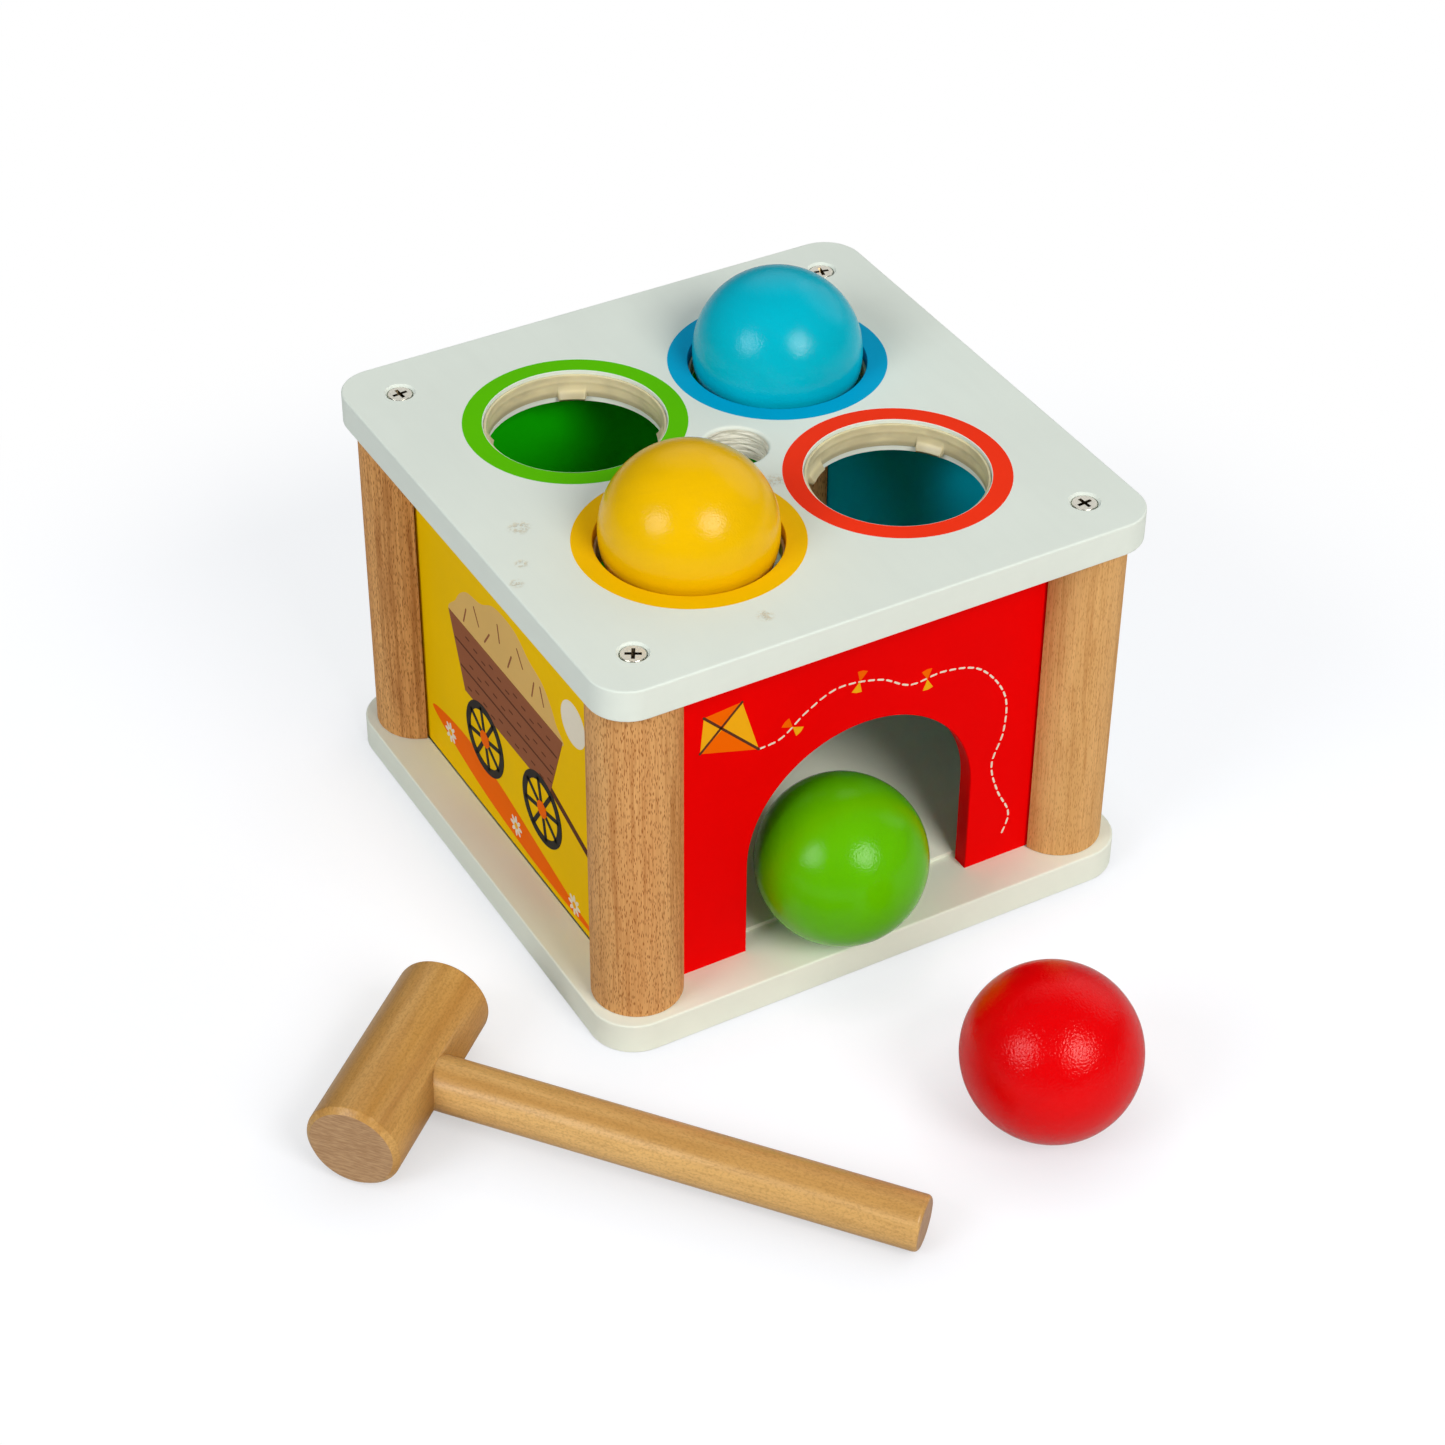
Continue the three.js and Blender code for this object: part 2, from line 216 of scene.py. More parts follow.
def srgb(red, green, blue):
    """The linear colour of a screen colour, from its 0 to 255 values."""
    def linear(value):
        share = value / 255
        return share / 12.92 if share <= 0.04045 else ((share + 0.055) / 1.055) ** 2.4
    return (linear(red), linear(green), linear(blue), 1.0)


def shade(colour, factor):
    return (*[min(1.0, channel * factor) for channel in colour[:3]], 1.0)


# Places and sizes from the frame
def box(node):
    low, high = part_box(node)
    return Vector(low), Vector(high)


def centre_of(node):
    low, high = box(node)
    return (low + high) / 2


TOP_LOW, TOP_HIGH = box("top_panel")
BASE_LOW, BASE_HIGH = box("base_panel")
POST_LOW, POST_HIGH = box("post_back_right")
POST_OFFSET = (POST_LOW.x + POST_HIGH.x) / 2
POST_RADIUS = (POST_HIGH.x - POST_LOW.x) / 2
POST_PLACES = {corner: (x * POST_OFFSET, y * POST_OFFSET) for corner, (x, y) in CORNERS.items()}
TOP_WIDTH = TOP_HIGH.x - TOP_LOW.x
BASE_WIDTH = BASE_HIGH.x - BASE_LOW.x
FRONT_LOW, FRONT_HIGH = box("front_panel")
PANEL_INNER = -FRONT_HIGH.y
PANEL_THICKNESS = FRONT_HIGH.y - FRONT_LOW.y
PANEL_WIDTH = FRONT_HIGH.x - FRONT_LOW.x
PANEL_HEIGHT = FRONT_HIGH.z - FRONT_LOW.z
RING_BOX = box("retainer_green")
SEAT_RADIUS = (RING_BOX[1].x - RING_BOX[0].x) / 2 + RING_CLEARANCE
NECK_RADIUS = SEAT_RADIUS - RING_CLEARANCE - LEDGE_WIDTH


# Outlines and loops of points
def ray(angle):
    return Vector((cos(angle), sin(angle)))


def rectangle(width, height, radius=0.0):
    """Insets of a rectangle about its middle, with round corners where it has a radius."""
    steps = CORNER_STEPS if radius else 0

    def outline(inset):
        turn = radius - inset if radius else 0.0
        x = width / 2 - inset - turn
        y = height / 2 - inset - turn
        points = []
        for quadrant, (a, b) in enumerate(QUADRANTS):
            for step in range(steps + 1):
                angle = RIGHT_ANGLE * (quadrant + step / max(1, steps))
                points.append(Vector((a * x, b * y)) + turn * ray(angle))
        return points
    return outline


def arch(width, height, opening_width, opening_height):
    """Insets of a panel about its foot's middle, with a round-topped opening in its lower edge."""
    spring = opening_height - opening_width / 2

    def outline(inset):
        side = width / 2 - inset
        reach = opening_width / 2 + inset
        points = [Vector((-side, inset)), Vector((-reach, inset))]
        for turn in range(ARCH_STEPS + 1):
            points.append(Vector((0, spring)) + reach * ray(pi * (1 - turn / ARCH_STEPS)))
        points += [Vector((reach, inset)), Vector((side, inset))]
        points += [Vector((side, height - inset)), Vector((-side, height - inset))]
        return points
    return outline


def circle(radius, z, centre=(0.0, 0.0), sides=96):
    x, y = centre
    turns = (FULL_TURN * index / sides for index in range(sides))
    return [Vector((x + radius * cos(turn), y + radius * sin(turn), z)) for turn in turns]


def quarter(ease, steps=4):
    """How far a rounded rim is drawn in, and how deep it lies, from the face to the wall."""
    for index in range(steps + 1):
        angle = RIGHT_ANGLE * index / steps
        yield ease * (1 - sin(angle)), ease * (1 - cos(angle))


def add(name, data):
    made = bpy.data.objects.new(name, data)
    bpy.context.scene.collection.objects.link(made)
    return made


def even_normals(made):
    made.modifiers.new("even_normals", "WEIGHTED_NORMAL").keep_sharp = True


class Shell:
    """A closed surface made of loops of points, bridged one to the next and filled at the ends."""

    def __init__(self):
        self.mesh = bmesh.new()

    def loop(self, points):
        return [self.mesh.verts.new(point) for point in points]

    def bridge(self, first, second, finish=0):
        for index in range(len(first)):
            after = (index + 1) % len(first)
            face = self.mesh.faces.new((first[index], first[after], second[after], second[index]))
            face.material_index = finish

    def skin(self, loops, finish=0):
        for first, second in zip(loops, loops[1:]):
            self.bridge(first, second, finish)

    def point(self, ring, place):
        """Closes a ring to one point."""
        tip = self.mesh.verts.new(place)
        for index, corner in enumerate(ring):
            self.mesh.faces.new((corner, ring[(index + 1) % len(ring)], tip))

    def fill(self, outer, inner=(), finish=0):
        """A flat face inside the outer loop, left open at the inner loops."""
        if not inner:
            self.mesh.faces.new(outer).material_index = finish
            return
        corners = [vertex for ring in (outer, *inner) for vertex in ring]
        outlines = [[vertex.co for vertex in ring] for ring in (outer, *inner)]
        for triangle in tessellate_polygon(outlines):
            self.mesh.faces.new([corners[index] for index in triangle]).material_index = finish

    def lathe(self, profile, sides):
        """A turned rod from a list of (radius, z), with flat ends."""
        loops = [self.loop(circle(radius, z, sides=sides)) for radius, z in profile]
        self.skin(loops)
        self.fill(loops[0])
        self.fill(loops[-1])

    def prism(self, outline, bottom, top, ease, features=(), steps=4):
        """A form along Z with rounded rims. Each feature is a list of loops that starts at a face and
        ends at the other face, or is closed where it stops."""
        rims = []
        rim = [*quarter(ease, steps)]
        for face, direction, drawn in ((bottom, 1, rim), (top, -1, rim[::-1])):
            for inset, deep in drawn:
                rims.append(self.loop([(*point, face + direction * deep) for point in outline(inset)]))
        self.skin(rims)
        ends = {bottom: [], top: []}
        for bands in features:
            loops = [self.loop(points) for points, _ in bands]
            for index, (_, finish) in enumerate(bands[1:]):
                self.bridge(loops[index], loops[index + 1], finish)
            closed = True
            for points, ring in ((bands[0][0], loops[0]), (bands[-1][0], loops[-1])):
                for height, holes in ends.items():
                    if abs(points[0].z - height) < MM / 1000:
                        holes.append(ring)
                        closed = ring is not loops[-1]
            if closed:
                self.fill(loops[-1])
        self.fill(rims[0], ends[bottom])
        self.fill(rims[-1], ends[top])

    def piece(self, name, place=None, sharp=radians(32)):
        bmesh.ops.recalc_face_normals(self.mesh, faces=self.mesh.faces)
        if place is not None:
            self.mesh.transform(place)
        data = bpy.data.meshes.new(name)
        self.mesh.to_mesh(data)
        self.mesh.free()
        data.polygons.foreach_set("use_smooth", [True] * len(data.polygons))
        data.set_sharp_from_angle(angle=sharp)
        made = add(name, data)
        even_normals(made)
        return made


def settle(made, slot, finishes, *nodes, body="bench"):
    """Gives a piece its finishes and its body, and hides the CAD nodes that it stands for. The slot is not
    used.
    """
    for finish in finishes:
        made.data.materials.append(finish)
    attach(made, body)
    if nodes:
        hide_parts(*nodes)


# Materials. Most of a noise lies between these two values
MOST = (0.3, 0.7)


class Tree:
    """The node tree of a material or a world, built node by node."""

    def __init__(self, owner):
        owner.use_nodes = True
        self.nodes = owner.node_tree.nodes
        self.links = owner.node_tree.links

    def plug(self, value, socket):
        if isinstance(value, bpy.types.NodeSocket):
            self.links.new(value, socket)
        else:
            socket.default_value = value

    def node(self, kind, inputs, output=0, **settings):
        """Makes a node and gives back one output, or all of them where the output is None."""
        made = self.nodes.new(f"ShaderNode{kind}")
        for key, value in settings.items():
            setattr(made, key, value)
        for key, value in inputs.items():
            self.plug(value, made.inputs[key])
        return made.outputs if output is None else made.outputs[output]

    def spread(self, value, low, high, to_low=0.0, to_high=1.0, kind="SMOOTHSTEP"):
        inputs = {"Value": value, "From Min": low, "From Max": high, "To Min": to_low, "To Max": to_high}
        return self.node("MapRange", inputs, interpolation_type=kind)

    def vector(self, operation, first, second, output="Value"):
        return self.node("VectorMath", {0: first, 1: second}, output, operation=operation)

    def blend(self, share, first, second):
        return self.node("MixShader", {0: share, 1: first, 2: second})


class Finish(Tree):
    """A procedural material, in the piece's own coordinates or those of the place given."""

    def __init__(self, name, colour, roughness, specular, place=None, **settings):
        self.material = bpy.data.materials.new(name)
        super().__init__(self.material)
        self.surface = self.nodes["Principled BSDF"]
        self.local = self.node("TexCoord", {}, "Object")
        if place is not None:
            inputs = {"Vector": self.local, "Location": place.to_translation(), "Rotation": place.to_euler()}
            self.local = self.node("Mapping", inputs, vector_type="TEXTURE")
        settings.update(Base_Color=colour, Roughness=roughness, Specular_IOR_Level=specular)
        for key, value in settings.items():
            self.set(key.replace("_", " "), value)

    def set(self, key, value):
        self.plug(value, self.surface.inputs[key])

    def map(self, scale, shift=(0, 0, 0), over=None):
        vector = self.local if over is None else over
        return self.node("Mapping", {"Vector": vector, "Scale": scale, "Location": shift})

    def noise(self, scale, detail=3.0, roughness=0.5, shift=(0, 0, 0), over=None):
        """Noise with so many cells to the metre, alike or along each axis."""
        each = scale if isinstance(scale, tuple) else (scale, scale, scale)
        vector = self.map(each, shift, over)
        inputs = {"Vector": vector, "Scale": 1.0, "Detail": detail, "Roughness": roughness}
        return self.node("TexNoise", inputs)

    def maths(self, operation, first, second=0.0):
        return self.node("Math", {0: first, 1: second}, operation=operation)

    def times(self, first, second):
        return self.maths("MULTIPLY", first, second)

    def mix(self, share, first, second):
        return self.node("Mix", {0: share, 6: first, 7: second}, 2, data_type="RGBA")

    def tint(self, tone, colour, by, low, high, most=1.0):
        """Turns a tone to a colour, up to the most, as a value goes from low to high."""
        return self.mix(self.spread(by, low, high, 0.0, most), tone, colour)

    def girth(self, radius):
        """Flat coordinates round a post: along its girth, and up it."""
        x, y, z = self.node("SeparateXYZ", {0: self.local}, None)
        return self.node("CombineXYZ", {"X": self.times(self.maths("ARCTAN2", y, x), radius), "Y": z})

    def strokes(self, flat, cell, size, chance, shift):
        """Short soft strokes, one to a cell at most, where the chance lets them be."""
        place = self.map((1 / (cell[0] * MM), 1 / (cell[1] * MM), 1), shift, flat)
        cells = self.node("TexVoronoi", {"Vector": place, "Scale": 1.0}, None, voronoi_dimensions="2D")
        lot = self.node("SeparateXYZ", {0: cells["Color"]})
        near = self.spread(cells["Distance"], size, STROKE_CORE_SHARE * size)
        return self.times(near, self.spread(lot, chance, chance - STROKE_CHANCE_FADE))

    def bump(self, height, depth, strength=1.0, normal=None):
        """Relief of a depth in millimetres, over the relief given."""
        inputs = {"Height": height, "Distance": depth * MM, "Strength": strength}
        if normal is not None:
            inputs["Normal"] = normal
        made = self.node("Bump", inputs)
        self.set("Normal", made)
        return made

    def done(self, tone, height, depth, strength=1.0, normal=None):
        """Sets the colour and the last relief, and gives back the material."""
        self.set("Base Color", tone)
        self.bump(height, depth, strength, normal)
        return self.material


def paint(name, colour, roughness=0.5, specular=0.02):
    """Satin paint over board: faintly uneven, with a fine pebbled surface and a few pale specks."""
    finish = Finish(name, colour, roughness, specular)
    cloudy = finish.noise(28, 4.0)
    fine = finish.noise(700, 2.0)
    speck = finish.noise(420, 0.0, shift=(7.3, 2.1, 5.2))
    tone = finish.tint(shade(colour, 0.965), shade(colour, 1.03), cloudy, *MOST)
    tone = finish.tint(tone, shade(colour, 0.9), fine, 0.25, 0.75, 0.12)
    finish.set("Roughness", finish.spread(cloudy, *MOST, roughness - 0.04, roughness + 0.05))
    return finish.done(tone, finish.maths("ADD", fine, finish.spread(speck, 0.74, 0.8)), 0.03, 0.5)


def white_paint(name, colour, scuffs=()):
    """Satin off-white paint, with rough worn marks at the given (x, y, radius) places on its top."""
    finish = Finish(name, colour, 0.5, 0.1)
    cloudy = finish.noise(22, 5.0)
    fine = finish.noise(900, 2.0)
    fibre = finish.noise((260, 30, 260))
    crumbs = finish.noise(800, 3.0, 0.7)
    tone = finish.tint(shade(colour, 0.975), shade(colour, 1.015), cloudy, *MOST)
    tone = finish.tint(tone, shade(colour, 0.86), fibre, 0.35, 0.8, 0.1)
    height = finish.maths("ADD", finish.times(fine, 0.5), finish.times(fibre, 0.5))
    for x, y, radius in scuffs:
        away = finish.vector("DISTANCE", finish.local, (x * MM, y * MM, TOP_HIGH.z))
        near = finish.spread(away, radius * MM, SCUFF_CORE_SHARE * radius * MM)
        worn = finish.times(near, finish.spread(crumbs, 0.44, 0.58))
        tone = finish.mix(finish.times(worn, 0.8), tone, WORN)
        height = finish.maths("SUBTRACT", height, finish.times(worn, SCUFF_DEPTH))
    return finish.done(tone, height, 0.05, 0.6)


def torn_paint(name, colour, crack_shade):
    """White paint over torn grain: level ridges, with the cracks between them darkened as painted shade."""
    finish = Finish(name, colour, 0.6, 0.1)
    ridges = finish.noise((160, 160, 1500), 4.0, 0.65)
    # The cracks are painted darker: painted shade
    shaded_cracks = finish.spread(ridges, 0.5, 0.38)
    return finish.done(finish.mix(finish.times(shaded_cracks, 0.45), colour, crack_shade), ridges, 0.5, 0.9)


def beech(name, place, light, middle, dark, strength):
    """Oiled beech with upright grain: soft bands, fine fibres and many short dark strokes."""
    finish = Finish(name, middle, 0.5, 0.06, place)
    sway = finish.maths("SUBTRACT", finish.noise((40, 40, 14), 1.0, shift=(5.1, 1.4, 0.3)), 0.5)
    sideways = finish.node("CombineXYZ", {"X": finish.times(sway, GRAIN_SWAY)})
    flat = finish.vector("ADD", finish.girth(POST_RADIUS), sideways, "Vector")
    bands = finish.noise((130, 5, 1), 3.0, 0.6, over=flat)
    streaks = finish.noise((420, 9, 1), 2.0, 0.6, (3, 1, 0), flat)
    fibres = finish.noise((1900, 60, 1), 3.0, 0.6, (1, 7, 0), flat)
    cloud = finish.noise((45, 45, 16), 2.0, shift=(3.1, 0.4, 1.7))
    tone = finish.tint(middle, light, bands, *MOST)
    tone = finish.tint(tone, dark, streaks, 0.5, 0.7, 0.4 * strength + 0.2)
    tone = finish.tint(tone, shade(dark, 1.05), fibres, 0.47, 0.72, 0.6)
    tone = finish.tint(tone, shade(light, 1.15), fibres, 0.45, 0.28, 0.5)
    strokes = finish.maths("MAXIMUM", *(finish.strokes(flat, *stroke) for stroke in STROKES))
    strokes = finish.times(strokes, finish.spread(cloud, 0.3, 0.6, 0.6, 1.0))
    pore = (*[channel * share for channel, share in zip(dark, PORE_SHARES)], 1.0)
    tone = finish.mix(finish.times(strokes, strength), tone, pore)
    finish.set("Roughness", finish.spread(fibres, *MOST, 0.46, 0.58))
    return finish.done(tone, finish.maths("SUBTRACT", finish.times(fibres, 0.5), strokes), 0.04, 0.5)


def lacquered_wood(name, place, light, middle, dark):
    """Clear-lacquered close-grained wood, with its grain along its place's Z and end grain on its ends."""
    finish = Finish(name, middle, 0.3, 0.34, place)
    bands = finish.noise((120, 120, 6), 4.0, 0.55)
    cloud = finish.noise((45, 45, 22), shift=(1.3, 2.2, 0.7))
    fibres = finish.noise((1400, 1400, 70), 3.0, 0.65)
    specks = finish.noise((2000, 2000, 1300), 2.0, shift=(0.6, 3.3, 1.9))
    pores = finish.noise((330, 2600, 330), 2.0, 0.6)
    tone = finish.tint(dark, light, bands, 0.32, 0.68)
    tone = finish.tint(tone, middle, cloud, *MOST, 0.5)
    tone = finish.tint(tone, shade(dark, 0.8), fibres, 0.35, 0.8, 0.4)
    tone = finish.tint(tone, shade(dark, 0.6), specks, 0.44, 0.68, 0.3)
    facing = finish.vector("DOT_PRODUCT", finish.node("TexCoord", {}, "Normal"), place.to_3x3().col[2])
    end_tone = finish.tint(*END_GRAIN, pores, *MOST)
    tone = finish.tint(tone, end_tone, finish.maths("ABSOLUTE", facing), 0.8, 0.97)
    grain = finish.maths("ADD", fibres, finish.times(bands, 0.6))
    return finish.done(tone, specks, 0.022, normal=finish.bump(grain, 0.04, 0.5))


def ball_lacquer(name, place, colour, peel):
    """Coloured lacquer on a turned wooden ball: saturated, finely pebbled by the depth of its peel, with
    the grain faintly felt through it."""
    finish = Finish(name, colour, 0.18, 0.19, place)
    grain = finish.noise((650, 650, 90), 4.0, 0.65)
    cloud = finish.noise((60, 60, 25))
    tone = finish.tint(shade(colour, 0.95), shade(colour, 1.04), cloud, *MOST)
    tone = finish.tint(tone, shade(colour, 0.82), grain, 0.45, 0.8, 0.16)
    finish.set("Roughness", finish.spread(grain, *MOST, 0.14, 0.21))
    return finish.done(tone, finish.noise(1800, 1.0), peel, normal=finish.bump(grain, 0.03, 0.55))


def soft_plastic(name, colour):
    """Soft cream plastic that lets some light through; below the rings' ledge its colour is darkened as
    painted shade on its tabs.
    """
    finish = Finish(name, colour, 0.3, 0.5, Subsurface_Weight=0.3, Subsurface_Radius=(1.0, 0.85, 0.6))
    finish.set("Subsurface Scale", SOFT_DEPTH)
    cloudy = finish.noise((110, 110, 220), 4.0)
    tone = finish.tint(shade(colour, 0.84), shade(colour, 1.05), cloudy, *MOST)
    height = finish.node("SeparateXYZ", {0: finish.local}, "Z")
    # Below the ledge the tone is darkened: painted shade on the tabs
    shade_from = RING_BOX[1].z - RING_HEIGHT + TAB_SHADE_RISE
    tone = finish.tint(tone, shade(colour, 0.5), height, shade_from, shade_from - TAB_SHADE_FADE, 0.6)
    return finish.done(tone, finish.noise(500), 0.03, 0.4)


def nickel(name, colour):
    """Nickel plated steel with fine turning marks."""
    finish = Finish(name, colour, 0.27, 0.5, Metallic=1.0)
    marks = finish.noise((2500, 2500, 500))
    finish.set("Roughness", finish.spread(marks, *MOST, 0.22, 0.38))
    return finish.done(colour, marks, 0.01, 0.4)


# Worn marks on the top: (x, y, radius) in millimetres, their colour, core and depth
SCUFFS = (
    (-64.1, -5.7, 3.7), (-75.2, -26.2, 2.4), (-29.5, -66.3, 2.8), (1.1, -18.5, 3.4),
    (-70.5, -19.5, 2.2),
)
WORN = srgb(213, 204, 178)
SCUFF_CORE_SHARE = 0.3
SCUFF_DEPTH = 4.0

# Beech: two kinds of stroke, each with its cell's width and height in millimetres, size, chance and shift
STROKES = (((0.5, 3.6), 0.25, 0.92, (0.3, 0.6, 0)), ((0.46, 2.6), 0.23, 0.65, (5.2, 2.9, 0)))
STROKE_CORE_SHARE = 0.35
STROKE_CHANCE_FADE = 0.25
PORE_SHARES = (0.66, 0.48, 0.34)
GRAIN_SWAY = 1.6 * MM
POST_TONES = {
    "front_left": (srgb(228, 176, 114), srgb(215, 158, 98), srgb(176, 113, 60), 0.95),
    "front_right": (srgb(229, 180, 117), srgb(216, 165, 102), srgb(190, 132, 74), 0.5),
    "back_left": (srgb(234, 178, 112), srgb(216, 154, 90), srgb(160, 98, 48), 0.85),
    "back_right": (srgb(228, 176, 114), srgb(215, 158, 98), srgb(176, 113, 60), 0.85),
}
GOLDEN_TONES = (srgb(232, 187, 119), srgb(215, 166, 96), srgb(192, 141, 73))
BROWN_TONES = (srgb(221, 175, 105), srgb(206, 153, 80), srgb(183, 130, 61))
END_GRAIN = (srgb(166, 126, 87), srgb(193, 154, 112))

# Soft plastic: how deep light goes in, and where painted shade darkens it under the rings' ledge
SOFT_DEPTH = 1.0 * MM
TAB_SHADE_RISE = 0.9 * MM
TAB_SHADE_FADE = 1.2 * MM

# Each colour as it is on a panel, on a ball and in a printed band
TONES = {
    "yellow": (srgb(249, 200, 0), srgb(241, 189, 0), srgb(248, 194, 2)),
    "red": (srgb(244, 0, 1), srgb(230, 0, 4), srgb(255, 56, 24)),
    "green": (srgb(14, 180, 0), srgb(97, 190, 0), srgb(93, 197, 0)),
    "blue": (srgb(0, 172, 204), srgb(0, 183, 207), srgb(0, 168, 214)),
}
PICTURE_COLOURS = {
    "gold": srgb(250, 180, 24),
    "orange": srgb(255, 108, 0),
    "brown": srgb(152, 92, 62),
    "umber": srgb(96, 56, 38),
    "charcoal": srgb(52, 50, 48),
    "straw": srgb(228, 186, 110),
    "milk": srgb(240, 232, 212),
}

WHITE = white_paint("white_paint", srgb(241, 246, 232))
WHITE_TOP = white_paint("white_paint_worn", srgb(232, 240, 231), SCUFFS)
TORN = torn_paint("torn_paint", srgb(236, 236, 222), srgb(150, 148, 120))
WEDGE_BEECH = beech("wedge_beech", Matrix(), srgb(222, 172, 110), srgb(212, 160, 98), srgb(176, 120, 66), 0.6)
NICKEL = nickel("nickel", srgb(246, 242, 228))
# A dark nickel for the cross recess: painted shade of its depth
RECESS_SHADE_NICKEL = nickel("nickel_recess_shade", srgb(112, 98, 76))
CREAM = soft_plastic("soft_plastic", srgb(229, 218, 176))
PANEL_PAINTS = {name: paint(f"{name}_paint", tones[0]) for name, tones in TONES.items()}
INKS = {name: paint(f"{name}_ink", tones[2], 0.42, 0.03) for name, tones in TONES.items()}
PICTURE_INKS = {name: paint(f"{name}_picture_ink", colour, 0.45) for name, colour in PICTURE_COLOURS.items()}


# Boards
def ball_hole(colour, ink):
    """The loops of one ball hole, from the printed band on the face down past the ring's ledge. Round a
    seated ball, whose ring is sunk, the print's colour runs on down the wall."""
    node = f"retainer_{colour}"
    ledge = box(node)[1].z - RING_HEIGHT
    white = 0
    wall = ink if RING_LIPS[colour] < 0 else white
    steps = [(PRINT_OUTER, TOP_HIGH.z, white), (PRINT_INNER, TOP_HIGH.z, ink)]
    steps += [(SEAT_RADIUS + inset, TOP_HIGH.z - deep, wall) for inset, deep in quarter(HOLE_RIM)]
    steps += [(SEAT_RADIUS, ledge, wall), (NECK_RADIUS, ledge, white), (NECK_RADIUS, TOP_LOW.z, white)]
    return [(circle(radius, z, centre_of(node).xy), finish) for radius, z, finish in steps]


def centre_hole():
    """The small middle hole, whose painted wall is rough with torn grain."""
    levels = 40
    sides = 120
    radius = CENTRE_HOLE / 2
    torn = len(COLOURS) + 1
    rim = TOP_HIGH.z - CENTRE_HOLE_RIM
    turn = quarter(CENTRE_HOLE_RIM)
    bands = [(circle(radius + inset, TOP_HIGH.z - deep, sides=sides), 0) for inset, deep in turn]
    for level in range(1, levels):
        points = circle(radius, rim - (rim - TOP_LOW.z) * level / levels, sides=sides)
        depth = CENTRE_HOLE_ROUGHNESS * min(1.0, level / TEAR_FADE_LEVELS)
        for point in points:
            wave = noise.noise(point * TEAR_COARSE) + 0.6 * noise.noise(point * TEAR_FINE)
            point.xy *= 1 + depth * (wave - 0.1) / radius
        bands.append((points, torn))
    bands.append((circle(radius, TOP_LOW.z, sides=sides), torn))
    return bands


def screw_seat(place, face, direction, through):
    """A countersunk hole from a face, going down from it (direction 1) or up (direction -1)."""
    head = SCREW_HEAD / 2 + SCREW_CLEARANCE
    shank = SCREW_SHANK / 2 + SCREW_CLEARANCE
    steps = [(head + COUNTERSINK, 0.0), (head + 0.9 * COUNTERSINK, COUNTERSINK_LIP), (head, COUNTERSINK)]
    steps += [(head, SCREW_SINK + SEAT_WALL), (shank, SCREW_SINK + SCREW_HEAD_DEPTH + SEAT_SLACK)]
    steps.append((shank, through))
    return [(circle(radius, face - direction * deep, place, 48), 0) for radius, deep in steps]


def foot_joint(heading):
    """A narrow dark channel in the base along a panel's foot, partly under the panel."""
    half = POST_OFFSET - POST_RADIUS / 2
    under = PANEL_THICKNESS - JOINT_UNDERCUT
    out = PANEL_THICKNESS + JOINT_WIDTH
    corners = []
    for along, away in ((-half, under), (half, under), (half, out), (-half, out)):
        corners.append((panel_place(heading) @ Vector((along, 0, away))).xy)
    return [([Vector((*corner, BASE_HIGH.z - deep)) for corner in corners], 0) for deep in (0.0, JOINT_DEPTH)]


def top_board():
    features = [ball_hole(colour, ink) for ink, colour in enumerate(COLOURS, 1)]
    features.append(centre_hole())
    features += [screw_seat(place, TOP_HIGH.z, 1, TOP_HIGH.z - TOP_LOW.z) for place in POST_PLACES.values()]
    shell = Shell()
    shell.prism(rectangle(TOP_WIDTH, TOP_WIDTH, TOP_CORNER), TOP_LOW.z, TOP_HIGH.z, BOARD_EDGE, features)
    finishes = [WHITE_TOP, *(INKS[colour] for colour in COLOURS), TORN]
    settle(shell.piece("top_board"), "white_paint", finishes, "top_panel")


def base_board():
    features = [screw_seat(place, BASE_LOW.z, -1, BASE_HIGH.z - BASE_LOW.z) for place in POST_PLACES.values()]
    features += [foot_joint(heading) for node, (_, heading) in PANELS.items() if node != "front_panel"]
    shell = Shell()
    shell.prism(rectangle(BASE_WIDTH, BASE_WIDTH, BASE_CORNER), BASE_LOW.z, BASE_HIGH.z, BOARD_EDGE, features)
    settle(shell.piece("base_board"), "white_paint", [WHITE], "base_panel")


# Posts
def post_outline(x, y):
    """Insets of a round section with a groove towards each of its two panels."""
    half_groove = PANEL_THICKNESS / 2 + GROOVE_CLEARANCE
    floor = POST_RADIUS - GROOVE_DEPTH
    first = atan2(-y, -x) - RIGHT_ANGLE / 2
    spans = ((first, first + RIGHT_ANGLE), (first + RIGHT_ANGLE, first + FULL_TURN))

    def outline(inset):
        radius = POST_RADIUS - inset
        notch = asin(half_groove / radius)
        points = []
        for start, end in spans:
            across = ray(start + RIGHT_ANGLE)
            out = ray(start)
            points += [out * floor - across * half_groove, out * floor + across * half_groove]
            count = round(POST_STEPS * (end - start) / FULL_TURN)
            for index in range(count + 1):
                angle = start + notch + (end - start - 2 * notch) * index / count
                points.append(radius * ray(angle))
        return points
    return outline


def posts():
    for corner, (x, y) in CORNERS.items():
        node = f"post_{corner}"
        low, high = box(node)
        shell = Shell()
        shell.prism(post_outline(x, y), low.z, high.z, POST_EDGE)
        place = Matrix.Translation((*POST_PLACES[corner], 0))
        grain = place @ Matrix.Rotation(atan2(y, x), 4, "Z")
        wood = beech(f"{corner}_beech", grain, *POST_TONES[corner])
        settle(shell.piece(f"corner_{node}", place), "beech", [wood], node)


# Panels
def panel_place(heading):
    """From a panel's own frame (along it, up it, out of it) to the row frame."""
    out = Vector(heading)
    turn = Matrix((UP.cross(out), UP, out)).transposed().to_4x4()
    return Matrix.Translation(out * PANEL_INNER + UP * FRONT_LOW.z) @ turn


